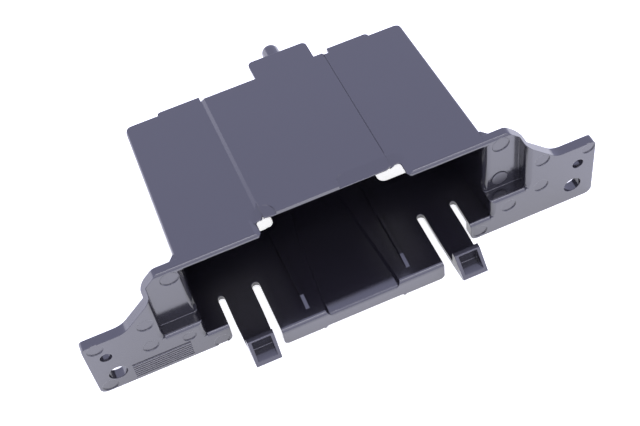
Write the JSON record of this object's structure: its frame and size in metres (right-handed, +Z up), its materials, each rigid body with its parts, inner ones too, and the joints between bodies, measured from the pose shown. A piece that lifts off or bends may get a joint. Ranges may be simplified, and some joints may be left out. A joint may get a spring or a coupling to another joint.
{
  "type": "mounting bracket",
  "caption": "Moulded plastic sleeve bracket: a flat box open at the front, with screw ears, side bays, latch tongues, a lipped shelf, a rear tab and a locating peg.",
  "frame": {"origin": "midway between the two large screw holes, on the plane of the ears' rear faces", "axes": "+X from the left ear to the right ear seen from the mouth, +Y from the mouth to the rear of the sleeve, +Z up"},
  "size_m": [0.205, 0.1174, 0.0487],
  "materials": {
    "black_plastic": "satin injection moulded black plastic"
  },
  "bodies": {
    "root": {"bracket": "black_plastic"}
  },
  "joints": []
}
